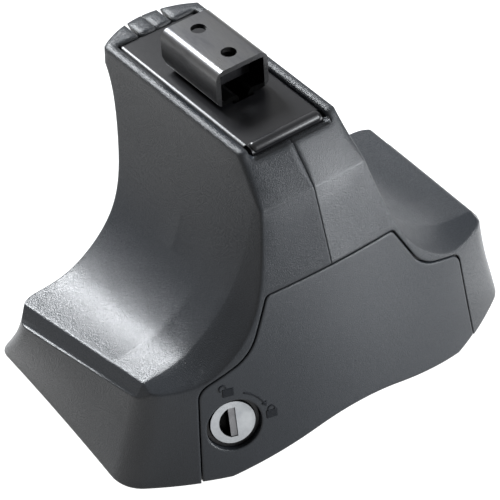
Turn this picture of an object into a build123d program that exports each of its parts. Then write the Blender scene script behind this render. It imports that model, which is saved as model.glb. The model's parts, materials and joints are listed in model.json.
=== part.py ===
from build123d import *
import math
import os

# Roof bar foot: two moulded halves round a folded steel frame, a bar clamp on the seat,
# a screw and bell crank that tighten it, and a locked cover over the mechanism.
# Every piece is drawn in the seat frame: origin in the middle of the bar seat, X across the foot,
# Y along the bar with the outer end at -Y, Z up from the seat. The whole is then leaned so that
# the rim of the base stands level.

# Stance
seat_height = 117.0         # bar seat above the level rim, measured on the seat's own normal
roof_lean = 5.0             # slope of the bar seat when the rim stands level, degrees

# Working room
beyond = 200.0              # past every outline, for blocks and drills that trim
overlap = 1.0               # how far joined blocks run into each other
through = 20.0              # drills through the sheet steel

# Moulded housing
wall = 3.0
seam_gap = 0.3              # between the two halves
rim_height = 0.8            # moulded rim above the bar seat
neck_half = 23.3            # outside of the neck at the seat
neck_back_radius = 40.0
neck_back_y = 51.0
crown_y = 20.0              # the rounded back starts here
crown_z = -20.0             # and ends here
notch_x = 8.0               # clip notches through the back of the rim
notch_width = 1.6
shoulder_top_y = -48.5      # front of the neck just under the seat's lip
shoulder_low_y = -62.8      # crease below the sloping shoulder
shoulder_low_z = -17.3
shoulder_start_z = -1.0
shoulder_step = 0.8         # depth of the step under the seat's lip
shoulder_step_run = 2.5     # and its run down the shoulder
strip_side = 1.0            # how far it reaches past the lip
shoulder_shift = 0.4        # fall of the shoulder for each mm of inset
# Plan outlines from top to bottom: z, front y, bow of the front, half widths at the front and
# the back, back y, corner radii at the front and the back
envelope_levels = (
    (6.0, -55.0, 1.4, 76.0, 70.0, 60.0, 5.0, 5.0),
    (shoulder_low_z, shoulder_low_y, 1.8, 79.0, 74.0, 37.0, 7.0, 7.0),
    (-50.0, -72.6, 8.7, 83.0, 84.0, 25.0, 10.0, 10.0),
    (-90.0, -83.3, 21.0, 87.6, 94.0, 20.5, 14.0, 10.0),
    (-115.0, -88.7, 28.6, 94.6, 92.5, 35.0, 15.0, 7.0),
    (-132.0, -92.0, 33.5, 98.5, 92.0, 43.0, 15.0, 6.0),
)
band_y = -58.0              # where the flanks turn down into the front band
band_fall = 0.40            # fall of the band towards the front
band_run = 60.0
flank_back_y = 60.0         # rear profile of the flanks
flank_fall = 9.0            # the rear profile lies this much lower
flank_splay = 10.0          # and its dish reaches this much further out
dish_half = 82.3            # crisp edge at the outer end of the dished flank
dish_z = -75.2
dish_flat = 4.0             # level run of the dish inside its edge
dish_dip = 0.12             # and its fall
# Flank from the neck down to the dish: x, z, share of the splay
sweep = ((29.0, -29.0, 0.0), (40.2, -54.4, 0.0), (57.0, -69.6, 0.3))
groove_out = 3.6            # from the crisp edge out to the foot of the band
groove_drop = 5.5           # and down, to where the skirt steps out
groove_fall = 2.0           # the step lies this much lower again on the rear profile
dish_edge_radius = 1.6
groove_radius = 1.0
front_edge_radius = 1.2     # outline of the front face and the crease behind it
rim_edge_radius = 0.5

# Cover
cover_gap = 0.7             # visible seam round the cover
cover_wall = 2.5
cover_seat = 0.3            # between the cover and the ledge behind it
ledge = 2.0                 # thickness of that ledge
ledge_reach = 3.0           # how far it reaches under the cover
ledge_root = 2.0            # and how far out into the wall
cover_top_half = 31.5
cover_top_z = -49.6
cover_waist_half = 43.0
cover_waist_z = -71.5
cover_wing_half = 65.5
cover_wing_z = -80.5
cover_foot_half = 71.3
cover_foot_z = -140.0
cover_corners = (3.0, 22.0, 7.0)
front_start_y = -55.0       # columns through the front start here
front_run = 70.0
arch_half = 72.0            # arch in the bottom edge, where the claw comes out
arch_foot_z = -127.5
arch_apex_z = -108.5
arch_radius = 80.0
hook_levels = (-94.0, -115.0)
hook_height = 7.0
hook_wall = 2.4
hook_reach = 2.6            # how far the hooks reach past the hinge line
hook_depth = 7.0            # and how far behind it they lie
hook_root = 9.0             # their roots, in front of the hinge line
cover_skin = 1.0            # what grows on the back of the cover stays this far under its face
hinge_top = (66.7, -72.0, -90.0)
hinge_low = (70.0, -75.3, -124.0)

# Support frame
steel = 3.0
seat_half = 19.0
seat_front_y = -47.0
seat_back_y = 40.0
seat_fit = 0.5              # clearance of the housing round the seat
lip_half = 17.0
lip_drop = 7.0
lip_show = 2.5              # depth of lip left bare by the housing
lip_room = 1.0              # under the lip
lip_root_y = -42.0
bend = 2.4                  # outside radius of the folds that show
feet_level = -98.0          # underside of the frame's feet, with the rim level
feet_half = 46.0
feet_front_y = -54.0
feet_back_y = 2.0
# Side wall from the seat's front round to the foot and back: y, z
side_outline = ((-42.5, 1.0), (seat_back_y, 1.0), (seat_back_y, -steel), (33.0, -6.0), (27.0, -22.0),
                (18.0, -48.0), (12.0, -75.0), (12.0, -120.0), (-60.0, -120.0), (-57.0, -45.0), (-50.0, -22.0),
                (-42.5, -9.0))

# Pad plate
plate_half = 64.0
plate_front_y = -57.0
plate_back_y = 6.0
plate_edge = 6.0            # depth of the folded ends
claw_half = 23.0            # notch that the claw passes
claw_notch_y = -46.0
peg_slot = 8.0
peg_entry = 12.8            # round entry of the slots
peg_front_y = -24.0
peg_back_y = -8.0
peg_x = 20.0
rivet_diameter = 5.0
rivet_x = 34.0
rivet_head = 9.0
rivet_head_wall = 2.0
rivet_spots = (-46.0, -5.0)
boss_x = 54.0
boss_spots = (-42.0, -2.0)
boss_diameter = 9.0
boss_height = 60.0
rib_wall = 2.0
rib_lift = 2.0
root_depth = 0.8            # how deep ribs and bosses run into the wall
fix_diameter = 4.0          # screws that hold the halves
fix_fit = 0.2
fix_length = 16.0           # depth of their holes
fix_reach = 14.0
fix_head = 8.0
fix_head_wall = 2.8
fix_socket = 2.2
fix_socket_depth = 1.6

# Bar clamp
clamp_width = 25.0
clamp_height = 17.2
clamp_length = 37.0
clamp_wall = 2.2
clamp_lift = 0.4            # clear of the seat when tight
clamp_corner = 2.9          # bend radii on the middle of the sheet
clamp_foot = 2.2
clamp_turn = 1.5
lip_x = 3.3                 # lips turn down here, on the middle of the sheet
lip_rise = 0.9              # and have risen by this much
lip_end = -2.4              # into the seat's slot
clamp_chamfer = 5.0         # lower corners at the back
clamp_hole = 6.4
clamp_hole_pitch = 20.0

# Clamping mechanism
shank_width = 3.0
shank_depth = 14.0
slot_fit = 0.6              # of the clamp's lips in the seat's slot
head_width = 18.4
head_length = 20.0
head_height = 5.0
head_clear = 0.05           # over the clamp's lips
eye_below = 8.0             # shank below the eye's middle
eye_fit = 0.4
eye_slack = 1.0             # the eye is longer by this at each side, for the crank's arc
pivot_y = -30.0
pivot_z = -44.0
pivot_diameter = 8.0
draw_pin_diameter = 6.0
nut_z = -68.0               # height of the screw and its barrel nut
nut_diameter = 14.0
journal_diameter = 8.0
arm_radius = 9.5
cheek_inner = 9.0
cheek_wall = 3.0
crank_web_y = 5.0           # web between the cheeks, behind the pivot
crank_web_low = 9.0         # above the nut
crank_web_high = 5.0        # below the pivot
screw_diameter = 8.0
screw_head_diameter = 13.0
screw_head_length = 8.0
screw_socket = 6.0
screw_socket_depth = 4.8
screw_tip_chamfer = 1.0
screw_tip_y = -12.0
washer_diameter = 20.0
washer_wall = 1.6
washer_fit = 0.4
web_front_y = -56.4         # front of the carriage web
web_wall = 4.0
carriage_half = 14.0
carriage_top_z = -58.0
carriage_foot_z = -99.0
carriage_back_y = -41.0
carriage_bevel = 4.0
carriage_cheek_top = -68.0
carriage_cheek_low = -86.0
carriage_cheek_root = -92.0
tray_lip = 8.0
tray_front_y = -66.0
guide_y = -46.0
guide_z = -80.0
guide_diameter = 6.0
guide_travel = 3.0
running = 0.3               # running clearance of moving faces
pin_stand = 0.5             # of pin ends outside the crank's cheeks
pin_head = 4.0              # how much wider a pin's head is
pin_head_wall = 2.0
pin_overhang = 4.0          # past the frame's right wall
clip_wall = 1.2
clip_reach = 2.5            # of the snap ring round its pin
clip_bite = 0.8
clip_mouth = 3.0

# Lock
lock_inset = 18.1           # from the cover's foot to the lock's axis
lock_x = lock_inset - cover_foot_half
lock_y = -75.9
lock_z = -100.8
lock_yaw = 19.0
lock_pitch = 13.0
ring_diameter = 23.0
ring_recess = 1.8
boss_wall = 2.5
boss_depth = 15.0
lock_fit = 0.2              # of the sleeve in the cover
flange_wall = 2.0
plug_diameter = 18.4
plug_recess = 0.8
plug_depth = 13.5
tail_diameter = 9.6
tail_depth = 20.0
keyway_width = 3.0
keyway_length = 13.0
keyway_depth = 9.0
hollow_radius = 7.0         # D-shaped key mouth beside the shutter
hollow_x = 1.35
hollow_depth = 5.0
shutter_wall = 0.8
shutter_fit = 0.2
shutter_recess = 0.4
cam_wall = 2.5
cam_width = 8.0
cam_eye = 11.0
cam_fit = 0.1
cam_reach = 14.0
cam_screw_diameter = 4.0
cam_screw_reach = 6.0
cam_screw_head = 2.4
cam_hole_depth = 7.0
driver_slot = 1.0
driver_depth = 0.8
keeper_outer = 45.0         # keeper in the left half, behind which the cam turns
keeper_inner = 9.5
keeper_half = 6.0
keeper_front = -17.4
keeper_back = -19.7
lock_room_depth = 16.0      # of the ledge cut away round the lock
lock_room_side = 1.0
hinge_room_x = 55.0         # and beside the hinge
hinge_room_z = -84.0


def level(shape):
    """Bring a shape drawn with the rim level into the seat frame."""
    return Rot(roof_lean, 0, 0) * shape


def slab(x0, x1, y0, y1, z0, z1):
    """Box between two corners."""
    return Pos((x0 + x1) / 2, (y0 + y1) / 2, (z0 + z1) / 2) * Box(x1 - x0, y1 - y0, z1 - z0)


def cross_pin(diameter, half, y, z):
    """Round bar along X."""
    return Pos(0, y, z) * Rot(0, 90, 0) * Cylinder(diameter / 2, 2 * half)


def long_pin(diameter, y0, y1, x, z):
    """Round bar along Y."""
    return Pos(x, (y0 + y1) / 2, z) * Rot(90, 0, 0) * Cylinder(diameter / 2, y1 - y0)


def plan_outline(z, front_y, bow, front_half, back_half, back_y, front_corner, back_corner):
    """One level of the housing's envelope: bowed front, straight flanks and back."""
    corner_y = front_y + bow
    front = ThreePointArc((-front_half, corner_y), (0, front_y), (front_half, corner_y))
    right = Line((front_half, corner_y), (back_half, back_y))
    back = Line((back_half, back_y), (-back_half, back_y))
    left = Line((-back_half, back_y), (-front_half, corner_y))
    face = make_face(front + right + back + left)
    fronts = face.vertices().sort_by(Axis.Y)[:2]
    face = fillet(fronts, front_corner)
    backs = [v for v in face.vertices() if v.Y > back_y - 0.01]
    face = fillet(backs, back_corner)
    return Pos(0, 0, z) * face


def envelope(inset):
    """Front, back and skirt of the housing as one loft, moved inwards by inset."""
    outlines = []
    for z, front_y, bow, front_half, back_half, back_y, front_corner, back_corner in envelope_levels:
        outlines.append(plan_outline(z, front_y + inset, bow, front_half - inset, back_half - inset,
                                     back_y - inset, front_corner - inset / 2, back_corner - inset / 2))
    body = loft(outlines)
    slope = (shoulder_low_z - shoulder_start_z) / (shoulder_low_y - shoulder_top_y)
    shoulder = Plane(origin=(0, shoulder_top_y + inset, shoulder_start_z - shoulder_shift * inset),
                     z_dir=(0, -slope, 1.0))
    return split(body, bisect_by=shoulder, keep=Keep.BOTTOM)


def flank_profile(y, fall, splay, inset):
    """Right flank across the foot: upright neck, concave sweep, dish, band and step."""
    neck = neck_half - inset
    end = dish_half + splay - inset
    drop = fall + inset
    points = [(neck, 0)]
    for x, z, share in sweep:
        points.append((x + share * splay - inset, z - drop))
    points.append((end - dish_flat, dish_z - drop))
    curve = Spline(*points, tangents=((0.06, -1.0), (1.0, -0.03)))
    groove = dish_z - drop - groove_drop - groove_fall * fall / flank_fall
    edge = FilletPolyline(points[-1], (end, dish_z - drop - dish_dip), (end + groove_out, groove),
                          (beyond, groove), radius=[dish_edge_radius, groove_radius])
    rest = Polyline((beyond, groove), (beyond, -beyond), (0, -beyond), (0, beyond), (neck, beyond), (neck, 0))
    return Pos(0, y, 0) * (Plane.XZ * make_face(curve + edge + rest))


def flank_solid(inset):
    """Right flank: a sweep that widens and falls to the back, with a sloping band at the front."""
    front = flank_profile(band_y, 0, 0, inset)
    rear = flank_profile(flank_back_y, flank_fall, flank_splay, inset)
    behind = loft([front, rear], ruled=True)
    ahead = extrude(front, amount=band_run, dir=(0, -1, -band_fall))
    return behind + ahead


def moulded_half(inset):
    """Right half of the housing's outer form, moved inwards by inset."""
    body = flank_solid(inset) & envelope(inset)
    crown = slab(-beyond, beyond, crown_y, beyond, crown_z, beyond)
    crown -= Pos(0, neck_back_y - neck_back_radius, 0) * Cylinder(neck_back_radius - inset, 2 * beyond)
    lid = slab(-beyond, beyond, -beyond, beyond, rim_height - inset, beyond)
    return body - crown - lid


def soft_edges(half):
    """Round the front outline, its creases and the rim of a half."""
    front = []
    for edge in half.edges():
        box = edge.bounding_box()
        outline = neck_half - 1 < box.min.X < neck_half + 7 and box.max.Y < shoulder_top_y + 1.5
        crease = abs(edge.center().Z - shoulder_low_z) < 1 and box.max.Y < shoulder_low_y + 1
        if outline or crease:
            front.append(edge)
    half = fillet(front, front_edge_radius)
    rim = [e for e in half.edges() if e.center().Z > rim_height - 0.05 and e.center().X > neck_half - 0.1]
    return fillet(rim, rim_edge_radius)


def below_rim(lift):
    """Everything under the level rim, raised by lift."""
    return level(slab(-beyond, beyond, -beyond, beyond, -beyond - seat_height, lift - seat_height))


def right_only(shape):
    """The part of a shape right of the seam."""
    return shape & slab(seam_gap / 2, beyond, -beyond, beyond, -beyond, beyond)


def shoulder_strip():
    """Shallow step across the top of the shoulder, under the seat's lip."""
    run_y = shoulder_low_y - shoulder_top_y
    run_z = shoulder_low_z - shoulder_start_z
    length = math.hypot(run_y, run_z)
    down = (run_y / length, run_z / length)
    corners = []
    for along, out in ((-lip_show, -shoulder_step), (shoulder_step_run, -shoulder_step),
                       (shoulder_step_run, lip_show), (-lip_show, lip_show)):
        corners.append((shoulder_top_y + along * down[0] + out * down[1],
                        shoulder_start_z + along * down[1] - out * down[0]))
    return side_plate(corners, -lip_half - strip_side, lip_half + strip_side)


def cover_prism(grow):
    """Column through the front along the cover's outline, grown sideways by grow."""
    half = [(0, cover_top_z + grow), (cover_top_half + grow, cover_top_z + grow),
            (cover_waist_half + grow, cover_waist_z + grow), (cover_wing_half + grow, cover_wing_z + grow),
            (cover_foot_half + grow, cover_foot_z)]
    edge = FilletPolyline(*half, radius=cover_corners)
    face = make_face(edge + Polyline(half[-1], (0, cover_foot_z), half[0]))
    right = extrude(Plane.XZ * face, amount=front_run)
    right = Pos(0, front_start_y, 0) * right
    return right + mirror(right, about=Plane.YZ)


def front_arch():
    """Everything below the arched bottom edge of the cover."""
    left = (-arch_half, arch_foot_z)
    right = (arch_half, arch_foot_z)
    curve = FilletPolyline(left, (0, arch_apex_z), right, radius=arch_radius)
    floor = Polyline(right, (arch_half, -beyond), (-arch_half, -beyond), left)
    return Pos(0, front_start_y, 0) * extrude(Plane.XZ * make_face(curve + floor), amount=front_run)


def side_plate(points, x0, x1):
    """Flat plate in the YZ plane between two values of X."""
    face = make_face(Polyline(*points, close=True))
    return Pos(x0, 0, 0) * extrude(Plane.YZ * face, amount=x1 - x0)


def both_sides(shape):
    """A shape and its mirror image across the foot."""
    return shape + mirror(shape, about=Plane.YZ)


def lock_frame():
    """Plane of the lock's face: X to the right, Y up, Z out of the cover."""
    yaw = math.radians(lock_yaw)
    pitch = math.radians(lock_pitch)
    out = (-math.sin(yaw) * math.cos(pitch), -math.cos(yaw) * math.cos(pitch), math.sin(pitch))
    return Plane(origin=(lock_x, lock_y, lock_z), x_dir=(math.cos(yaw), -math.sin(yaw), 0), z_dir=out)


def lock_round(diameter, z0, z1):
    """Round bar on the lock's axis."""
    return lock_frame().location * Pos(0, 0, (z0 + z1) / 2) * Cylinder(diameter / 2, z1 - z0)


def lock_block(x0, x1, y0, y1, z0, z1):
    """Box square to the lock's axis."""
    return lock_frame().location * slab(x0, x1, y0, y1, z0, z1)


def housing_shell(outer, inner):
    """Right half: shell with the seat recess, the cover's opening and screw bosses."""
    shell = outer - inner
    core = moulded_half(wall - root_depth)
    for y in boss_spots:
        boss = Pos(boss_x, y, feet_level + boss_height / 2) * Cylinder(boss_diameter / 2, boss_height)
        rib = slab(boss_x, beyond, y - rib_wall / 2, y + rib_wall / 2, feet_level + rib_lift,
                   feet_level + boss_height)
        shell += level(boss + rib) & core
    for y in boss_spots:
        shell -= level(Pos(boss_x, y, feet_level) * Cylinder((fix_diameter + fix_fit) / 2, 2 * fix_length))
    seat = seat_half + seat_fit
    lip = lip_half + seat_fit
    shell -= slab(-seat, seat, -beyond, seat_back_y + seat_fit, -lip_show, beyond)
    shell -= slab(-lip, lip, seat_front_y - seat_fit, 0, -lip_drop - lip_room, beyond)
    shell -= slab(notch_x - notch_width / 2, notch_x + notch_width / 2, seat_back_y, beyond, -lip_show, beyond)
    shell -= shoulder_strip()
    shell -= cover_prism(0)
    return right_only(shell - below_rim(0))


def cover_ledge():
    """Ledge of the right half that the cover's edge rests on."""
    behind = cover_wall + cover_seat
    ring = envelope(behind) - envelope(behind + ledge)
    ring = ring & (cover_prism(ledge_root) - cover_prism(-ledge_reach))
    return right_only(ring - below_rim(0))


def front_cover():
    """Cover moulded to the front of the housing, with the lock's boss and two hooks."""
    cover = envelope(0) - envelope(cover_wall)
    cover = cover & cover_prism(-cover_gap)
    sleeve = lock_round(ring_diameter + 2 * boss_wall, -boss_depth, boss_depth)
    solid = envelope(cover_skin)
    cover += sleeve & solid
    for z in hook_levels:
        x, y = hinge_point(z)
        low = z - hook_height / 2
        high = z + hook_height / 2
        back = y + hook_depth
        start = x - hook_root
        arm = slab(start, x + hook_reach, back, back + hook_wall, low, high)
        root = slab(start, start + hook_wall + overlap, y - hook_root, back + hook_wall / 2, low, high)
        cover += (arm + root) & solid
    cover -= lock_round(ring_diameter, -beyond, beyond)
    cover -= below_rim(cover_gap)
    return cover - front_arch()


def hinge_point(z):
    """Point of the cover's hinge line, on the outer seam at the right."""
    share = (z - hinge_top[2]) / (hinge_low[2] - hinge_top[2])
    return (hinge_top[0] + share * (hinge_low[0] - hinge_top[0]),
            hinge_top[1] + share * (hinge_low[1] - hinge_top[1]))


def support_frame():
    """Folded steel: seat with a front lip, two side walls and feet turned outwards."""
    half = seat_half
    inner = seat_half - steel
    path = [(-half, -beyond), (-half, 0), (half, 0), (half, -beyond), (inner, -beyond), (inner, -steel),
            (-inner, -steel), (-inner, -beyond)]
    section = make_face(Polyline(*path, close=True))
    section = fillet(section.vertices().group_by(Axis.Y)[-1], bend)
    channel = Pos(0, beyond, 0) * extrude(Plane.XZ * section, amount=2 * beyond)
    frame = channel & side_plate(side_outline, -beyond, beyond)
    lip = [(lip_root_y, 0), (seat_front_y, 0), (seat_front_y, -lip_drop), (seat_front_y + steel, -lip_drop),
           (seat_front_y + steel, -steel), (lip_root_y, -steel)]
    fold = make_face(Polyline(*lip, close=True))
    fold = fillet([v for v in fold.vertices() if v.X < seat_front_y + 0.1 and v.Y > -0.1], bend)
    frame += Pos(-lip_half, 0, 0) * extrude(Plane.YZ * fold, amount=2 * lip_half)
    frame -= level(slab(-beyond, beyond, -beyond, beyond, feet_level - beyond, feet_level))
    foot = slab(inner, feet_half, feet_front_y, feet_back_y, feet_level, feet_level + steel)
    frame += both_sides(level(foot))
    slot_half = lip_x + clamp_wall / 2 + slot_fit
    slot_reach = clamp_length / 2 + slot_fit
    frame -= slab(-slot_half, slot_half, -slot_reach, slot_reach, -through, through)
    frame -= cross_pin(pivot_diameter, beyond, pivot_y, pivot_z)
    for y in (guide_y, guide_y - guide_travel):
        frame -= cross_pin(guide_diameter + 2 * running, beyond, y, guide_z)
    frame -= slab(-beyond, beyond, guide_y - guide_travel, guide_y, guide_z - guide_diameter / 2 - running,
                  guide_z + guide_diameter / 2 + running)
    for x in (-rivet_x, rivet_x):
        for y in rivet_spots:
            frame -= level(Pos(x, y, feet_level) * Cylinder(rivet_diameter / 2, through))
    return frame


def pad_plate():
    """Level plate in the base with slots for the pad's pegs and a notch for the claw."""
    top = feet_level
    plate = slab(-plate_half, plate_half, plate_front_y, plate_back_y, top - steel, top)
    low = top - steel - plate_edge
    end = slab(plate_half - steel, plate_half, plate_front_y, plate_back_y, low, top - steel / 2)
    plate += both_sides(end)
    plate -= slab(-claw_half, claw_half, -beyond, claw_notch_y, top - through, top + through)
    for x in (-peg_x, peg_x):
        plate -= slab(x - peg_slot / 2, x + peg_slot / 2, peg_front_y, peg_back_y, top - through,
                      top + through)
        plate -= Pos(x, peg_front_y, top) * Cylinder(peg_entry / 2, through)
    for x in (-rivet_x, rivet_x):
        for y in rivet_spots:
            plate -= Pos(x, y, top) * Cylinder(rivet_diameter / 2, through)
    for x in (-boss_x, boss_x):
        for y in boss_spots:
            plate -= Pos(x, y, top) * Cylinder((fix_diameter + 2 * fix_fit) / 2, through)
    return level(plate)


def plate_rivets():
    """Four rivets through the frame's feet and the pad plate."""
    rivets = []
    for x in (-rivet_x, rivet_x):
        for y in rivet_spots:
            body = Pos(x, y, feet_level) * Cylinder(rivet_diameter / 2, 2 * steel)
            head = Cylinder(rivet_head / 2, rivet_head_wall)
            rise = steel + rivet_head_wall / 2
            heads = Pos(x, y, feet_level + rise) * head + Pos(x, y, feet_level - rise) * head
            rivets.append(level(body + heads))
    return Part() + rivets


def housing_screws():
    """Four screws up through the pad plate into the halves' bosses."""
    screws = []
    for x in (-boss_x, boss_x):
        for y in boss_spots:
            under = feet_level - steel
            body = Pos(x, y, under + fix_reach / 2) * Cylinder(fix_diameter / 2, fix_reach)
            head = Pos(x, y, under - fix_head_wall / 2) * Cylinder(fix_head / 2, fix_head_wall)
            hexagon = extrude(RegularPolygon(fix_socket, 6), amount=fix_socket_depth)
            socket = Pos(x, y, under - fix_head_wall) * hexagon
            screws.append(level(body + head - socket))
    return Part() + screws


def bar_clamp():
    """C section that slides inside the bar, with lips turned down into the seat's slot."""
    half = (clamp_width - clamp_wall) / 2
    low = clamp_lift + clamp_wall / 2
    top = clamp_lift + clamp_height - clamp_wall / 2
    middle = FilletPolyline((0, top), (half, top), (half, low), (lip_x, low + lip_rise), (lip_x, lip_end),
                            radius=[clamp_corner, clamp_foot, clamp_turn])
    sheet = make_face(middle.wire().offset_2d(clamp_wall / 2))
    right = Pos(0, clamp_length / 2, 0) * extrude(Plane.XZ * sheet, amount=clamp_length)
    body = both_sides(right)
    for y in (-clamp_hole_pitch / 2, clamp_hole_pitch / 2):
        body -= Pos(0, y, top) * Cylinder(clamp_hole / 2, 4 * clamp_wall)
    back = clamp_length / 2 - clamp_chamfer
    reach = clamp_chamfer + overlap
    corner = [(back - reach, clamp_lift - reach), (back + reach, clamp_lift + reach),
              (back + reach, clamp_lift - reach)]
    return body - side_plate(corner, -clamp_width, clamp_width)


def draw_bolt():
    """Flat bar with a T head over the clamp's lips and an eye for the lever's pin."""
    under = clamp_lift + clamp_wall + lip_rise + head_clear
    head = slab(-head_width / 2, head_width / 2, -head_length / 2, head_length / 2, under, under + head_height)
    shank = slab(-shank_width / 2, shank_width / 2, -shank_depth / 2, shank_depth / 2, pivot_z - eye_below,
                 under + overlap)
    reach = draw_pin_diameter / 2 + eye_fit
    eye = slab(-through, through, -eye_slack, eye_slack, pivot_z - reach, pivot_z + reach)
    for y in (-eye_slack, eye_slack):
        eye += cross_pin(2 * reach, through, y, pivot_z)
    return head + shank - eye


def clamp_lever():
    """Bell crank: two cheeks joined by a web, turning on the frame's pin."""
    long_arm = -pivot_y
    short_arm = pivot_z - nut_z
    upper = Pos(pivot_y + long_arm / 2, pivot_z) * SlotCenterToCenter(long_arm, 2 * arm_radius)
    lower = Pos(pivot_y, pivot_z - short_arm / 2) * SlotCenterToCenter(short_arm, 2 * arm_radius, rotation=90)
    cheek = Pos(cheek_inner, 0, 0) * extrude(Plane.YZ * (upper + lower), amount=cheek_wall)
    lever = both_sides(cheek)
    web_y = pivot_y + crank_web_y
    web_half = cheek_inner + overlap
    lever += slab(-web_half, web_half, web_y, web_y + cheek_wall, nut_z + crank_web_low,
                  pivot_z - crank_web_high)
    lever -= cross_pin(pivot_diameter + 2 * running, beyond, pivot_y, pivot_z)
    lever -= cross_pin(draw_pin_diameter, beyond, 0, pivot_z)
    lever -= cross_pin(journal_diameter + 2 * running, beyond, pivot_y, nut_z)
    return lever


def headed_pin(diameter, y, z):
    """Cross pin through both frame walls with a head at the left and a groove at the right."""
    body = cross_pin(diameter, seat_half + pin_overhang, y, z)
    rim = Cylinder((diameter + pin_head) / 2, pin_head_wall)
    head = Pos(-seat_half - pin_head_wall / 2, y, z) * Rot(0, 90, 0) * rim
    trim = slab(-beyond, -seat_half - pin_head_wall, -beyond, beyond, -beyond, beyond)
    return body + head - trim - pin_clip(diameter, y, z)


def pin_clip(diameter, y, z):
    """Snap ring in the groove at a pin's right end."""
    ring = Cylinder(diameter / 2 + clip_reach, clip_wall) - Cylinder(diameter / 2 - clip_bite, clip_wall)
    mouth = slab(-clip_mouth / 2, clip_mouth / 2, 0, beyond, -clip_wall, clip_wall)
    return Pos(seat_half + running + clip_wall / 2, y, z) * Rot(0, 90, 0) * (ring - mouth)


def trunnion_nut():
    """Barrel nut with a journal in each cheek of the lever."""
    nut = cross_pin(nut_diameter, cheek_inner - running, pivot_y, nut_z)
    nut += cross_pin(journal_diameter, cheek_inner + cheek_wall + pin_stand, pivot_y, nut_z)
    return nut - long_pin(screw_diameter + 2 * running, -beyond, beyond, 0, nut_z)


def tension_screw():
    """Socket screw from the claw carriage into the barrel nut."""
    under = web_front_y - washer_wall
    screw = long_pin(screw_head_diameter, under - screw_head_length, under, 0, nut_z)
    screw += long_pin(screw_diameter, under - overlap, screw_tip_y, 0, nut_z)
    hexagon = RegularPolygon(screw_socket / math.sqrt(3), 6)
    socket = Pos(0, under - screw_head_length, nut_z) * Rot(90, 0, 0) * hexagon
    screw -= extrude(socket, amount=screw_socket_depth, dir=(0, 1, 0))
    tip = [e for e in screw.edges().filter_by(GeomType.CIRCLE) if e.center().Y > screw_tip_y - 0.1]
    return chamfer(tip, screw_tip_chamfer)


def screw_washer():
    """Plain washer under the screw's head."""
    disc = long_pin(washer_diameter, web_front_y - washer_wall, web_front_y, 0, nut_z)
    return disc - long_pin(screw_diameter + washer_fit, -beyond, beyond, 0, nut_z)


def claw_carriage():
    """Sliding bracket: upright web, side cheeks on the guide pin and a hooked tray for the claw."""
    half = carriage_half
    back = web_front_y + web_wall
    body = slab(-half, half, web_front_y, back, carriage_foot_z, carriage_top_z)
    root = back - overlap
    cheek = [(root, carriage_top_z), (carriage_back_y - carriage_bevel, carriage_top_z),
             (carriage_back_y, carriage_cheek_top), (carriage_back_y, carriage_cheek_low),
             (root, carriage_cheek_root)]
    body += both_sides(side_plate(cheek, half - cheek_wall, half))
    body += slab(-half, half, tray_front_y, root, carriage_foot_z, carriage_foot_z + steel)
    body += slab(-half, half, tray_front_y, tray_front_y + steel, carriage_foot_z, carriage_foot_z + tray_lip)
    body -= long_pin(screw_diameter + 2 * running, -beyond, beyond, 0, nut_z)
    return body - cross_pin(guide_diameter, beyond, guide_y, guide_z)


def lock_barrel():
    """Sleeve of the lock, pushed into the cover's boss from behind."""
    outside = ring_diameter - 2 * lock_fit
    back = -boss_depth - flange_wall
    barrel = lock_round(outside, back, -ring_recess)
    barrel += lock_round(outside + 2 * boss_wall, back, -boss_depth)
    barrel -= lock_round(plug_diameter + 2 * running, -plug_depth - running, beyond)
    return barrel - lock_round(tail_diameter + 2 * running, -beyond, beyond)


def lock_plug():
    """Turning core with the key slot, a shallow hollow beside it and a tail for the cam."""
    plug = lock_round(plug_diameter, -plug_depth, -plug_recess)
    plug += lock_round(tail_diameter, -tail_depth, -plug_depth + overlap)
    half = keyway_length / 2
    plug -= lock_block(-keyway_width / 2, keyway_width / 2, -half, half, -keyway_depth, beyond)
    left = Pos(-beyond / 2 - hollow_x, 0) * Rectangle(beyond, beyond)
    hollow = extrude(Pos(hollow_x, 0) * Circle(hollow_radius) & left, amount=hollow_depth)
    plug -= lock_frame().location * Pos(0, 0, -plug_recess - hollow_depth) * hollow
    return plug - lock_round(cam_screw_diameter, -beyond, -tail_depth + cam_hole_depth)


def key_shutter():
    """Dust flap that closes the key slot and swings inwards on its right edge."""
    half = keyway_length / 2 - shutter_fit
    side = keyway_width / 2 - shutter_fit
    top = -plug_recess - shutter_recess
    return lock_block(-side, side, -half, half, top - shutter_wall, top)


def lock_cam():
    """Tongue on the back of the plug, pointing down when unlocked."""
    bar = slab(-cam_width / 2, cam_width / 2, -cam_reach, 0, 0, cam_wall)
    bar += Pos(0, 0, cam_wall / 2) * Cylinder(cam_eye / 2, cam_wall)
    bar -= Cylinder(cam_screw_diameter / 2 + cam_fit, beyond)
    return lock_frame().location * Pos(0, 0, -tail_depth - cam_wall) * bar


def cam_screw():
    """Screw that holds the cam to the plug's tail."""
    back = -tail_depth - cam_wall
    screw = lock_round(cam_screw_diameter, back - overlap, -tail_depth + cam_screw_reach)
    screw += lock_round(2 * cam_screw_diameter, back - cam_screw_head, back)
    floor = back - cam_screw_head + driver_depth
    slot = lock_block(-driver_slot / 2, driver_slot / 2, -beyond, beyond, -beyond, floor)
    return screw - slot


outer = soft_edges(moulded_half(0))
inner = moulded_half(wall)
shell = housing_shell(outer, inner)
rest_ledge = cover_ledge()
hinge_side = slab(hinge_room_x, beyond, -beyond, 0, -beyond, hinge_room_z)
lock_room = lock_round(ring_diameter + 2 * boss_wall + 2 * lock_room_side, -lock_room_depth, lock_room_depth)
left_core = mirror(moulded_half(wall - root_depth), about=Plane.YZ)
keeper = lock_block(-keeper_outer, -keeper_inner, -keeper_half, keeper_half, keeper_back, keeper_front)
keeper = keeper & left_core

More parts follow.
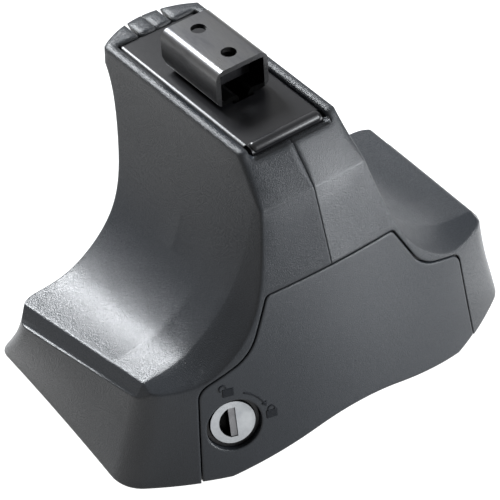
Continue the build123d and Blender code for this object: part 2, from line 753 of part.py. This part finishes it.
pieces = {
    "housing_right": shell + (rest_ledge - hinge_side),
    "housing_left": mirror(shell, about=Plane.YZ) + (mirror(rest_ledge, about=Plane.YZ) - lock_room) + keeper,
    "front_cover": front_cover(),
    "support_frame": support_frame(),
    "pad_plate": pad_plate(),
    "plate_rivets": plate_rivets(),
    "housing_screws": housing_screws(),
    "bar_clamp": bar_clamp(),
    "draw_bolt": draw_bolt(),
    "clamp_lever": clamp_lever(),
    "lever_pin": headed_pin(pivot_diameter, pivot_y, pivot_z),
    "lever_clip": pin_clip(pivot_diameter, pivot_y, pivot_z),
    "draw_pin": cross_pin(draw_pin_diameter, cheek_inner + cheek_wall + pin_stand, 0, pivot_z),
    "trunnion_nut": trunnion_nut(),
    "tension_screw": tension_screw(),
    "screw_washer": screw_washer(),
    "claw_carriage": claw_carriage(),
    "guide_pin": headed_pin(guide_diameter, guide_y, guide_z),
    "guide_clip": pin_clip(guide_diameter, guide_y, guide_z),
    "lock_barrel": lock_barrel(),
    "lock_plug": lock_plug(),
    "key_shutter": key_shutter(),
    "lock_cam": lock_cam(),
    "cam_screw": cam_screw(),
}

os.makedirs("parts", exist_ok=True)
for name, piece in pieces.items():
    export_step(Rot(-roof_lean, 0, 0) * piece, "parts/" + name + ".step")
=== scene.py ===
import bpy
import json
import math
from mathutils import Matrix, Vector


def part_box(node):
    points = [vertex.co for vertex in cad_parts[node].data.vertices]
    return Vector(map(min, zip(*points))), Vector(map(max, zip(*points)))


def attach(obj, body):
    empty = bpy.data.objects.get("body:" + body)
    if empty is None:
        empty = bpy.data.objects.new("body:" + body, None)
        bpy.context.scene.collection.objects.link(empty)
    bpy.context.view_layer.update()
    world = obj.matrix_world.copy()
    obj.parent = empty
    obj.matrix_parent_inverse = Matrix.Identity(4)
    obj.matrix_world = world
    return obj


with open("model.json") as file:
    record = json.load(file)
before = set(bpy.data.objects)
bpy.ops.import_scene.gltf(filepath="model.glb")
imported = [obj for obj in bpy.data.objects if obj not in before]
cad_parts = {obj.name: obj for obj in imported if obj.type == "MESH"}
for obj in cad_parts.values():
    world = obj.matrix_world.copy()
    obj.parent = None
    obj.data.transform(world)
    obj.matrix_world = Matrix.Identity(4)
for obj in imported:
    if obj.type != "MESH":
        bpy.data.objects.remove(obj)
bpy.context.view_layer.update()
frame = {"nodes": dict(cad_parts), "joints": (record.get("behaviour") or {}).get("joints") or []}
nodes = frame["nodes"]


# The moulded housing halves: fine grained charcoal plastic, injection moulded in two parts
# that meet on a seam down the neck, and held by screws up through the pad plate.

def node_at(tree, kind, x, y, **values):
    """New shader node at a place in the editor, with its sockets and settings filled in."""
    node = tree.nodes.new(kind)
    node.location = (x, y)
    for name, value in values.items():
        if name in node.inputs:
            node.inputs[name].default_value = value
        else:
            setattr(node, name, value)
    return node


def new_group(name, inputs, outputs):
    """Empty shader group with float inputs and named outputs, and its two end nodes."""
    group = bpy.data.node_groups.new(name, "ShaderNodeTree")
    group.interface.new_socket("Vector", in_out="INPUT", socket_type="NodeSocketVector")
    for socket, default in inputs.items():
        made = group.interface.new_socket(socket, in_out="INPUT", socket_type="NodeSocketFloat")
        made.default_value = default
    for socket, kind in outputs.items():
        group.interface.new_socket(socket, in_out="OUTPUT", socket_type=kind)
    start = node_at(group, "NodeGroupInput", -900, 0)
    end = node_at(group, "NodeGroupOutput", 700, 0)
    return group, start, end


def moulded_grain_group():
    """Spark-eroded mould grain: rounded pebbles of two sizes, as a height and a mask."""
    group, start, end = new_group("moulded_grain", {"Pebbles": 2600.0, "Fine": 3400.0},
                                  {"Height": "NodeSocketFloat", "Mask": "NodeSocketFloat",
                                   "Spark": "NodeSocketFloat"})
    pebbles = node_at(group, "ShaderNodeTexVoronoi", -600, 150, feature="SMOOTH_F1")
    pebbles.inputs["Smoothness"].default_value = 0.6
    fine = node_at(group, "ShaderNodeTexNoise", -600, -150, Detail=3.0, Roughness=0.6)
    fine_share = 1.2
    blend = node_at(group, "ShaderNodeMath", -250, 100, operation="MULTIPLY_ADD")
    blend.inputs[1].default_value = fine_share
    patches = node_at(group, "ShaderNodeTexNoise", -600, -420, Scale=55.0, Detail=2.0)
    group.links.new(start.outputs["Vector"], pebbles.inputs["Vector"])
    group.links.new(start.outputs["Pebbles"], pebbles.inputs["Scale"])
    group.links.new(start.outputs["Vector"], fine.inputs["Vector"])
    group.links.new(start.outputs["Fine"], fine.inputs["Scale"])
    group.links.new(start.outputs["Vector"], patches.inputs["Vector"])
    group.links.new(fine.outputs["Fac"], blend.inputs[0])
    group.links.new(pebbles.outputs["Distance"], blend.inputs[2])
    group.links.new(blend.outputs[0], end.inputs["Height"])
    group.links.new(patches.outputs["Fac"], end.inputs["Mask"])
    spark = node_at(group, "ShaderNodeMapRange", -250, -150)
    spark.inputs["From Min"].default_value = 0.42
    spark.inputs["From Max"].default_value = 0.58
    group.links.new(fine.outputs["Fac"], spark.inputs["Value"])
    group.links.new(spark.outputs["Result"], end.inputs["Spark"])
    return group


grain_group = moulded_grain_group()


def shader_of(material):
    """Principled shader of a material."""
    return material.node_tree.nodes["Principled BSDF"]


def spread(tree, source, low, high, x, y):
    """Map a 0 to 1 value between two ends."""
    node = node_at(tree, "ShaderNodeMapRange", x, y)
    node.inputs["To Min"].default_value = low
    node.inputs["To Max"].default_value = high
    tree.links.new(source, node.inputs["Value"])
    return node.outputs["Result"]


def two_tone(tree, mask, dark, light, x, y):
    """Mix of two colours by a mask. Either colour may also be another node's socket."""
    node = node_at(tree, "ShaderNodeMix", x, y, data_type="RGBA")
    factor = next(socket for socket in node.inputs if socket.name == "Factor" and socket.type == "VALUE")
    tree.links.new(mask, factor)
    ends = [socket for socket in node.inputs if socket.type == "RGBA"]
    for end, colour in zip(ends, (dark, light)):
        if isinstance(colour, tuple):
            end.default_value = (*colour, 1.0)
        else:
            tree.links.new(colour, end)
    return next(socket for socket in node.outputs if socket.type == "RGBA")


def charcoal_plastic(name, dark, light, gloss, grain_depth, edge, crown=0.0):
    """Grained charcoal moulding with uneven gloss, softened edges and, where asked, a crowned front."""
    material = bpy.data.materials.new(name)
    material.use_nodes = True
    tree = material.node_tree
    shader = shader_of(material)
    place = node_at(tree, "ShaderNodeTexCoord", -1300, 0)
    grain = node_at(tree, "ShaderNodeGroup", -1000, 0)
    grain.node_tree = grain_group
    tree.links.new(place.outputs["Object"], grain.inputs["Vector"])
    tree.links.new(two_tone(tree, grain.outputs["Mask"], dark, light, -500, 300), shader.inputs["Base Color"])
    tree.links.new(spread(tree, grain.outputs["Spark"], *gloss, -500, 0), shader.inputs["Roughness"])
    bump = node_at(tree, "ShaderNodeBump", -300, -300, Strength=1.0, Distance=grain_depth)
    tree.links.new(grain.outputs["Height"], bump.inputs["Height"])
    tree.links.new(bump.outputs["Normal"], shader.inputs["Normal"])
    shader.inputs["Specular IOR Level"].default_value = plastic_shine
    rounded = node_at(tree, "ShaderNodeBevel", -800, -750, Radius=edge, samples=8)
    if not crown:
        tree.links.new(rounded.outputs["Normal"], bump.inputs["Normal"])
        return material
    axes = node_at(tree, "ShaderNodeSeparateXYZ", -1000, -500)
    tree.links.new(place.outputs["Object"], axes.inputs["Vector"])
    rolled = node_at(tree, "ShaderNodeMapRange", -1000, -750)
    rolled.inputs["From Min"].default_value = rim_roll_z - rim_roll_fade
    rolled.inputs["From Max"].default_value = rim_roll_z
    rolled.inputs["To Min"].default_value = edge
    rolled.inputs["To Max"].default_value = rim_roll_radius
    tree.links.new(axes.outputs["Z"], rolled.inputs["Value"])
    tree.links.new(rolled.outputs["Result"], rounded.inputs["Radius"])
    across = node_at(tree, "ShaderNodeMath", -800, -500, operation="ABSOLUTE")
    tree.links.new(axes.outputs["X"], across.inputs[0])
    front = node_at(tree, "ShaderNodeMapRange", -800, -300)
    front.inputs["From Min"].default_value = crown_start_y
    front.inputs["From Max"].default_value = crown_start_y - crown_fade
    tree.links.new(axes.outputs["Y"], front.inputs["Value"])
    turned = node_at(tree, "ShaderNodeBump", -550, -500, Distance=crown, invert=True)
    tree.links.new(front.outputs["Result"], turned.inputs["Strength"])
    tree.links.new(across.outputs[0], turned.inputs["Height"])
    tree.links.new(rounded.outputs["Normal"], turned.inputs["Normal"])
    tree.links.new(turned.outputs["Normal"], bump.inputs["Normal"])
    return material


def finish_node(name, material):
    """Give a frame node its material, with smooth shading broken at its real edges."""
    node = nodes[name]
    node.data.materials.clear()
    node.data.materials.append(material)
    node.data.polygons.foreach_set("use_smooth", [True] * len(node.data.polygons))
    weld = node.modifiers.new("weld", "WELD")
    weld.merge_threshold = weld_distance
    split = node.modifiers.new("edges", "EDGE_SPLIT")
    split.split_angle = crisp_angle


weld_distance = 1e-6
crisp_angle = math.radians(24)
plastic_shine = 0.27
charcoal_dark = (0.009, 0.011, 0.014)
charcoal_light = (0.012, 0.014, 0.017)
housing_gloss = (0.20, 0.38)
housing_grain = 0.00007
housing_edge = 0.0011
neck_crown = 0.10
crown_start_y = -0.044
crown_fade = 0.003
rim_roll_z = -0.006
rim_roll_fade = 0.006
rim_roll_radius = 0.0038
housing_plastic = charcoal_plastic("housing_plastic", charcoal_dark, charcoal_light, housing_gloss,
                                   housing_grain, housing_edge, neck_crown)
for name in ("housing_left", "housing_right"):
    finish_node(name, housing_plastic)


# The front cover: one curved moulding in the same plastic, hooked behind the right half
# and held by the key lock in a round boss at its left end.

cover_gloss = (0.26, 0.44)
cover_grain = 0.00005
cover_edge = 0.0014
cover_plastic = charcoal_plastic("cover_plastic", charcoal_dark, charcoal_light, cover_gloss,
                                 cover_grain, cover_edge)
finish_node("front_cover", cover_plastic)


# The lock signs: an open padlock, a curved arrow and a closed padlock, raised on the cover
# round the key lock as part of the same moulding, in a plain generic drawing.

lock_joint = next(joint for joint in frame["joints"] if joint["name"] == "lock_turn")
lock_inward = Vector(lock_joint["axis"])
lock_right = Vector((0, 0, 1)).cross(-lock_inward).normalized()
lock_up = (-lock_inward).cross(lock_right)
lock_centre = Vector(lock_joint["pos_m"])


def select_only(piece):
    """Make one object the selected and active one."""
    bpy.ops.object.select_all(action="DESELECT")
    piece.select_set(True)
    bpy.context.view_layer.objects.active = piece


def flat_ring(outer, inner, cuts):
    """Flat ring about the origin, cut away beyond each (point, outward direction) plane."""
    bpy.ops.object.select_all(action="DESELECT")
    bpy.ops.mesh.primitive_circle_add(vertices=ring_points, radius=outer)
    piece = bpy.context.object
    bpy.ops.object.mode_set(mode="EDIT")
    bpy.ops.mesh.select_all(action="SELECT")
    bpy.ops.mesh.extrude_edges_move()
    bpy.ops.transform.resize(value=(inner / outer, inner / outer, 1.0), center_override=(0, 0, 0))
    for point, outward in cuts:
        bpy.ops.mesh.select_all(action="SELECT")
        bpy.ops.mesh.bisect(plane_co=point, plane_no=outward, clear_outer=True)
    bpy.ops.object.mode_set(mode="OBJECT")
    return piece


def place_flat(piece, x, y, turn):
    """Turn a flat piece about the origin, move it, and apply both."""
    piece.rotation_euler = (0, 0, turn)
    piece.location = (x, y, 0)
    select_only(piece)
    bpy.ops.object.transform_apply(location=True, rotation=True, scale=True)
    return piece


def padlock(angle, shackle_shift, shackle_turn):
    """Flat padlock on the sign circle. Its shackle is shifted and turned when it is open."""
    x, y = sign_radius * math.cos(angle), sign_radius * math.sin(angle)
    bpy.ops.object.select_all(action="DESELECT")
    bpy.ops.mesh.primitive_grid_add(x_subdivisions=8, y_subdivisions=6, size=1.0)
    body = bpy.context.object
    body.scale = (padlock_width, padlock_height, 1.0)
    shackle = flat_ring(shackle_outer, shackle_inner, [((0, -shackle_leg, 0), (0, -1, 0))])
    shackle_y = y + padlock_height / 2 + shackle_rise
    return [place_flat(body, x, y, turn=0.0),
            place_flat(shackle, x + shackle_shift, shackle_y, shackle_turn)]


ring_points = 120
sign_radius = 0.0158
padlock_width = 0.0046
padlock_height = 0.0034
shackle_outer = 0.0017
shackle_inner = 0.0011
shackle_leg = 0.0006
shackle_rise = 0.0005
open_angle, closed_angle = math.radians(96), math.radians(4)
open_shift, open_turn = -0.0022, math.radians(25)
arrow_from, arrow_to = math.radians(71), math.radians(26)
arrow_outer, arrow_inner = 0.0149, 0.0142
arrow_middle = (arrow_outer + arrow_inner) / 2
arrow_head_radius = 0.0014
sign_lift = 0.012
sign_relief = 0.0005
arrow = flat_ring(arrow_outer, arrow_inner, [
    ((0, 0, 0), (math.sin(arrow_to), -math.cos(arrow_to), 0)),
    ((0, 0, 0), (-math.sin(arrow_from), math.cos(arrow_from), 0))])
bpy.ops.object.select_all(action="DESELECT")
bpy.ops.mesh.primitive_circle_add(vertices=3, radius=arrow_head_radius, fill_type="NGON")
arrow_head = place_flat(bpy.context.object, arrow_middle * math.cos(arrow_to),
                        arrow_middle * math.sin(arrow_to), math.pi + arrow_to)
sign_pieces = [arrow, arrow_head]
sign_pieces += padlock(open_angle, open_shift, open_turn)
sign_pieces += padlock(closed_angle, shackle_shift=0.0, shackle_turn=0.0)
bpy.ops.object.select_all(action="DESELECT")
for piece in sign_pieces:
    piece.select_set(True)
bpy.context.view_layer.objects.active = arrow
bpy.ops.object.join()
lock_signs = bpy.context.object
lock_signs.name = "lock_signs"
lock_signs.matrix_world = (Matrix.Translation(lock_centre - lock_inward * sign_lift)
                           @ Matrix((lock_right, lock_up, -lock_inward)).transposed().to_4x4())
drape = lock_signs.modifiers.new("drape", "SHRINKWRAP")
drape.target = nodes["front_cover"]
drape.wrap_method = "PROJECT"
drape.use_project_z = True
drape.use_positive_direction = False
drape.use_negative_direction = True
relief = lock_signs.modifiers.new("relief", "SOLIDIFY")
relief.thickness = sign_relief
relief.offset = 0.0
select_only(lock_signs)
bpy.ops.object.modifier_apply(modifier="drape")
bpy.ops.object.modifier_apply(modifier="relief")
bpy.ops.object.transform_apply(location=True, rotation=True, scale=True)
bpy.ops.object.mode_set(mode="EDIT")
bpy.ops.mesh.select_all(action="SELECT")
bpy.ops.mesh.normals_make_consistent(inside=False)
bpy.ops.object.mode_set(mode="OBJECT")
# Painted shade: the signs are coloured darker than the cover plastic around them.
sign_shaded_dark = (0.006, 0.007, 0.009)
sign_shaded_light = (0.008, 0.009, 0.011)
sign_gloss = (0.40, 0.55)
sign_grain = 0.00006
sign_edge = 0.0003
sign_shine = 0.1
sign_shaded_plastic = charcoal_plastic("sign_shaded_plastic", sign_shaded_dark, sign_shaded_light, sign_gloss, sign_grain, sign_edge)
shader_of(sign_shaded_plastic).inputs["Specular IOR Level"].default_value = sign_shine
lock_signs.data.materials.append(sign_shaded_plastic)
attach(lock_signs, "cover")


# The support frame and pad plate: folded sheet steel in semi-gloss black paint, the top of
# the frame being the bar's seat. The paint shows a slight orange peel and a few dust specks.

def semi_gloss_paint():
    """Semi-gloss black paint on folded steel."""
    material = bpy.data.materials.new("semi_gloss_paint")
    material.use_nodes = True
    tree = material.node_tree
    shader = shader_of(material)
    place = node_at(tree, "ShaderNodeTexCoord", -1300, 0)
    peel = node_at(tree, "ShaderNodeTexNoise", -900, -200, Scale=420.0, Detail=2.0)
    dust = node_at(tree, "ShaderNodeTexNoise", -900, 200, Scale=900.0, Detail=4.0, Roughness=0.7)
    tree.links.new(place.outputs["Object"], peel.inputs["Vector"])
    tree.links.new(place.outputs["Object"], dust.inputs["Vector"])
    specks = node_at(tree, "ShaderNodeMapRange", -600, 200)
    specks.inputs["From Min"].default_value = 0.66
    specks.inputs["From Max"].default_value = 0.78
    tree.links.new(dust.outputs["Fac"], specks.inputs["Value"])
    paint = two_tone(tree, specks.outputs["Result"], paint_black, dust_grey, -300, 300)
    tree.links.new(paint, shader.inputs["Base Color"])
    tree.links.new(spread(tree, dust.outputs["Fac"], *paint_gloss, -300, 50), shader.inputs["Roughness"])
    bump = node_at(tree, "ShaderNodeBump", -300, -300, Strength=0.35, Distance=peel_depth)
    tree.links.new(peel.outputs["Fac"], bump.inputs["Height"])
    tree.links.new(bump.outputs["Normal"], shader.inputs["Normal"])
    shader.inputs["Specular IOR Level"].default_value = paint_shine
    shader.inputs["Coat Weight"].default_value = paint_coat
    shader.inputs["Coat Roughness"].default_value = coat_roughness
    return material


paint_black = (0.006, 0.006, 0.007)
dust_grey = (0.05, 0.05, 0.052)
paint_gloss = (0.26, 0.42)
paint_shine = 0.15
paint_coat = 0.15
coat_roughness = 0.20
peel_depth = 0.00008
black_paint = semi_gloss_paint()
for name in ("support_frame", "pad_plate"):
    finish_node(name, black_paint)


# The seat bead: the rolled front edge of the seat, a half-round ridge with rounded ends
# in the same painted steel, pressed with the frame.

bead_radius = 0.0024
bead_length = 0.0335
bead_place = (0.0, -0.0447, 0.0028)
bead_end_radius = 0.0018
bead_end_angle = math.radians(60)
bead_smooth_angle = math.radians(40)
bpy.ops.object.select_all(action="DESELECT")
bpy.ops.mesh.primitive_cylinder_add(vertices=40, radius=bead_radius, depth=bead_length,
                                    location=bead_place, rotation=(0, math.pi / 2, 0))
seat_bead = bpy.context.object
seat_bead.name = "seat_bead"
bpy.ops.object.transform_apply(location=True, rotation=True, scale=True)
ends = seat_bead.modifiers.new("ends", "BEVEL")
ends.width = bead_end_radius
ends.segments = 5
ends.limit_method = "ANGLE"
ends.angle_limit = bead_end_angle
bpy.ops.object.modifier_apply(modifier="ends")
bpy.ops.object.shade_smooth_by_angle(angle=bead_smooth_angle)
seat_bead.data.materials.append(black_paint)
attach(seat_bead, "base")


# The bar clamp: bare rolled steel bent to a C section, with darker mill patches along
# the rolling direction.

def rolled_steel(name, dark, light, gloss, stretch=(1.0, 1.0, 1.0)):
    """Bare or plated steel with worn patches, drawn out along one direction where it was rolled."""
    material = bpy.data.materials.new(name)
    material.use_nodes = True
    tree = material.node_tree
    shader = shader_of(material)
    place = node_at(tree, "ShaderNodeTexCoord", -1500, 0)
    draw = node_at(tree, "ShaderNodeMapping", -1250, 0)
    draw.inputs["Scale"].default_value = stretch
    patches = node_at(tree, "ShaderNodeTexNoise", -950, 150, Scale=160.0, Detail=5.0, Roughness=0.62)
    lines = node_at(tree, "ShaderNodeTexNoise", -950, -200, Scale=1400.0, Detail=3.0)
    tree.links.new(place.outputs["Object"], draw.inputs["Vector"])
    tree.links.new(draw.outputs["Vector"], patches.inputs["Vector"])
    tree.links.new(draw.outputs["Vector"], lines.inputs["Vector"])
    worn = node_at(tree, "ShaderNodeMapRange", -650, 150)
    worn.inputs["From Min"].default_value = 0.35
    worn.inputs["From Max"].default_value = 0.68
    tree.links.new(patches.outputs["Fac"], worn.inputs["Value"])
    wear = worn.outputs["Result"]
    smooth, rough = gloss
    tree.links.new(two_tone(tree, wear, dark, light, -350, 300), shader.inputs["Base Color"])
    tree.links.new(spread(tree, wear, rough, smooth, -350, 50), shader.inputs["Roughness"])
    bump = node_at(tree, "ShaderNodeBump", -300, -300, Strength=0.4, Distance=rolling_depth)
    tree.links.new(lines.outputs["Fac"], bump.inputs["Height"])
    tree.links.new(bump.outputs["Normal"], shader.inputs["Normal"])
    shader.inputs["Metallic"].default_value = 1.0
    return material


bare_dark = (0.045, 0.045, 0.048)
bare_light = (0.11, 0.11, 0.11)
steel_gloss = (0.26, 0.40)
rolling_depth = 0.00005
rolling_stretch = (1.0, 0.25, 1.0)
bare_steel = rolled_steel("bare_steel", bare_dark, bare_light, steel_gloss, rolling_stretch)
finish_node("bar_clamp", bare_steel)


def paint_shade(material, mask):
    """Paint shade into a material: near black where a mask is 1, for the unlit inside of a hollow."""
    colour = shader_of(material).inputs["Base Color"]
    tree = material.node_tree
    bare = colour.links[0].from_socket
    tree.links.new(two_tone(tree, mask, bare, painted_shade_black, -100, 500), colour)


def inside_mask(tree, lean, halves):
    """1 inside a box about the frame's origin that leans with the seat, given by its half sizes."""
    place = node_at(tree, "ShaderNodeTexCoord", -1900, 700)
    level = node_at(tree, "ShaderNodeVectorRotate", -1700, 700, rotation_type="X_AXIS", Angle=lean)
    axes = node_at(tree, "ShaderNodeSeparateXYZ", -1500, 700)
    tree.links.new(place.outputs["Object"], level.inputs["Vector"])
    tree.links.new(level.outputs["Vector"], axes.inputs["Vector"])
    product = None
    for row, (name, half) in enumerate(zip("XYZ", halves)):
        size = node_at(tree, "ShaderNodeMath", -1300, 700 - 160 * row, operation="ABSOLUTE")
        below = node_at(tree, "ShaderNodeMath", -1100, 700 - 160 * row, operation="LESS_THAN")
        below.inputs[1].default_value = half
        tree.links.new(axes.outputs[name], size.inputs[0])
        tree.links.new(size.outputs[0], below.inputs[0])
        if product is None:
            product = below.outputs[0]
        else:
            both = node_at(tree, "ShaderNodeMath", -900, 700 - 160 * row, operation="MULTIPLY")
            tree.links.new(product, both.inputs[0])
            tree.links.new(below.outputs[0], both.inputs[1])
            product = both.outputs[0]
    return product


painted_shade_black = (0.006, 0.006, 0.006)
seat_lean = math.radians(5)
clamp_shade_box = (0.0104, 0.0186, 0.0152)
# Painted shade: the inside of the clamp's C section is coloured near black, for the shade in it.
paint_shade(bare_steel, inside_mask(bare_steel.node_tree, seat_lean, clamp_shade_box))


# The clamping mechanism behind the cover: crank, pins, screw, carriage and fasteners in zinc
# plated steel, turned, pressed or stamped, and a draw bolt blackened in oil.

zinc_dark = (0.42, 0.41, 0.38)
zinc_light = (0.62, 0.61, 0.57)
plated_steel = rolled_steel("plated_steel", zinc_dark, zinc_light, steel_gloss)
for name in ("clamp_lever", "lever_pin", "lever_clip", "draw_pin", "trunnion_nut", "tension_screw",
             "screw_washer", "claw_carriage", "guide_pin", "guide_clip", "plate_rivets", "housing_screws",
             "lock_cam", "cam_screw"):
    finish_node(name, plated_steel)
oxide_dark = (0.012, 0.012, 0.013)
oxide_light = (0.030, 0.030, 0.032)
oxide_gloss = (0.40, 0.55)
black_oxide = rolled_steel("black_oxide", oxide_dark, oxide_light, oxide_gloss)
finish_node("draw_bolt", black_oxide)


# The key lock: a die-cast zinc plug with a satin face and a steel dust shutter, in a black
# sleeve that is pushed into the cover's boss. The plug's mouth is painted near black inside, as painted
# shade.

plug_dark = (0.26, 0.27, 0.28)
plug_light = (0.34, 0.35, 0.36)
plug_gloss = (0.34, 0.46)
satin_zinc = rolled_steel("satin_zinc", plug_dark, plug_light, plug_gloss)
finish_node("lock_plug", satin_zinc)
# Painted shade: the plug is coloured near black deeper than mouth_depth behind its face.
plug_face = min(lock_inward.dot(vertex.co) for vertex in nodes["lock_plug"].data.vertices)
mouth_depth = 0.0007
plug_tree = satin_zinc.node_tree
place = node_at(plug_tree, "ShaderNodeTexCoord", -1900, 700)
inward = node_at(plug_tree, "ShaderNodeVectorMath", -1650, 700, operation="DOT_PRODUCT")
inward.inputs[1].default_value = lock_inward
plug_tree.links.new(place.outputs["Object"], inward.inputs[0])
mouth_shade_mask = node_at(plug_tree, "ShaderNodeMath", -1400, 700, operation="GREATER_THAN")
mouth_shade_mask.inputs[1].default_value = plug_face + mouth_depth
plug_tree.links.new(inward.outputs["Value"], mouth_shade_mask.inputs[0])
paint_shade(satin_zinc, mouth_shade_mask.outputs[0])
shutter_dark = (0.12, 0.12, 0.125)
shutter_light = (0.18, 0.18, 0.185)
shutter_steel = rolled_steel("shutter_steel", shutter_dark, shutter_light, plug_gloss)
finish_node("key_shutter", shutter_steel)
sleeve_dark = (0.006, 0.006, 0.007)
sleeve_light = (0.009, 0.009, 0.010)
sleeve_gloss = (0.30, 0.40)
sleeve_grain = 0.00003
sleeve_edge = 0.0006
lock_black = charcoal_plastic("lock_black", sleeve_dark, sleeve_light, sleeve_gloss,
                              sleeve_grain, sleeve_edge)
finish_node("lock_barrel", lock_black)


# The floor, lights and camera: a sheet of paper just under the rim, white to the eye and in
# reflections. Seen from the object, its colour is painted dark behind and light towards the front,
# as painted shade and light. A soft light stands behind, where the left dish mirrors it, a large
# one low at the front right and a small one above that. The lens is long, at the photographed angle.

floor_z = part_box("housing_left")[0].z
floor_size = 12.0
floor_gap = 0.0002
paper_shaded_tone = (0.04, 0.04, 0.04)
paper_lit_tone = (0.30, 0.30, 0.30)
toward_front = (0.5, -0.86, 0.0)
bpy.ops.object.select_all(action="DESELECT")
bpy.ops.mesh.primitive_plane_add(size=floor_size, location=(0, 0, floor_z - floor_gap))
floor = bpy.context.object
floor.name = "floor"
paper = bpy.data.materials.new("pale_paper")
paper.use_nodes = True
sheet = paper.node_tree
paper_shader = shader_of(paper)
place = node_at(sheet, "ShaderNodeTexCoord", -1300, 200)
toward = node_at(sheet, "ShaderNodeVectorMath", -1050, 200, operation="DOT_PRODUCT")
toward.inputs[1].default_value = toward_front
sheet.links.new(place.outputs["Object"], toward.inputs[0])
lit = node_at(sheet, "ShaderNodeMapRange", -800, 200, interpolation_type="SMOOTHSTEP")
lit.inputs["From Min"].default_value = -0.25
lit.inputs["From Max"].default_value = 0.15
sheet.links.new(toward.outputs["Value"], lit.inputs["Value"])
# Painted light and shade: the paper is coloured light towards the front and dark behind.
paper_light_and_shade = two_tone(sheet, lit.outputs["Result"], paper_shaded_tone, paper_lit_tone, -500, 200)
sheet.links.new(paper_light_and_shade, paper_shader.inputs["Base Color"])
paper_shader.inputs["Roughness"].default_value = 0.9
paper_shader.inputs["Emission Strength"].default_value = 1.0


def background_rays(tree, x, y):
    """1 for the rays that show the background: camera, glossy and transmission rays."""
    path = node_at(tree, "ShaderNodeLightPath", x, y)
    seen = path.outputs["Is Camera Ray"]
    for step, kind in enumerate(("Is Glossy Ray", "Is Transmission Ray"), 1):
        either = node_at(tree, "ShaderNodeMath", x + 180 * step, y, operation="MAXIMUM")
        tree.links.new(seen, either.inputs[0])
        tree.links.new(path.outputs[kind], either.inputs[1])
        seen = either.outputs[0]
    return seen


sheet.links.new(background_rays(sheet, -700, -200), paper_shader.inputs["Emission Color"])
floor.data.materials.append(paper)

world = bpy.data.worlds.new("studio")
bpy.context.scene.world = world
world.use_nodes = True
sky = world.node_tree
backdrop = sky.nodes["Background"]
backdrop.inputs["Color"].default_value = (1.0, 1.0, 1.0, 1.0)
room_light = 0.02
backdrop_white = 1.0
shown = spread(sky, background_rays(sky, -900, 0), room_light, backdrop_white, -350, -100)
sky.links.new(shown, backdrop.inputs["Strength"])


def soft_light(name, place, aim, size, power):
    """Square soft box that faces a point."""
    data = bpy.data.lights.new(name, "AREA")
    data.size = size
    data.energy = power
    data.color = lamp_colour
    light = bpy.data.objects.new(name, data)
    bpy.context.scene.collection.objects.link(light)
    light.location = place
    light.rotation_euler = (Vector(aim) - Vector(place)).to_track_quat("-Z", "Y").to_euler()


lamp_colour = (0.94, 0.97, 1.0)
soft_light("back_light", place=(-0.02, 0.95, 0.64), aim=(-0.07, -0.01, -0.078), size=0.42, power=50.0)
soft_light("front_light", place=(1.05, -1.20, 0.22), aim=(0.02, -0.08, -0.08), size=0.9, power=66.0)
soft_light("shoulder_light", place=(0.90, -0.75, 0.85), aim=(0.01, -0.05, -0.01), size=0.45, power=5.0)

camera_place = Vector((-0.5958, -0.8049, 0.8755))
camera_aim = Vector((-0.0106, -0.0377, -0.0600))
camera_roll = math.radians(0.754)
camera_data = bpy.data.cameras.new("camera")
camera_data.lens = 242.5
camera_data.sensor_width = 36.0
camera = bpy.data.objects.new("camera", camera_data)
bpy.context.scene.collection.objects.link(camera)
look = (camera_aim - camera_place).to_track_quat("-Z", "Y").to_matrix().to_4x4()
camera.matrix_world = Matrix.Translation(camera_place) @ look @ Matrix.Rotation(camera_roll, 4, "Z")
bpy.context.scene.camera = camera
bpy.context.scene.view_settings.view_transform = "Standard"
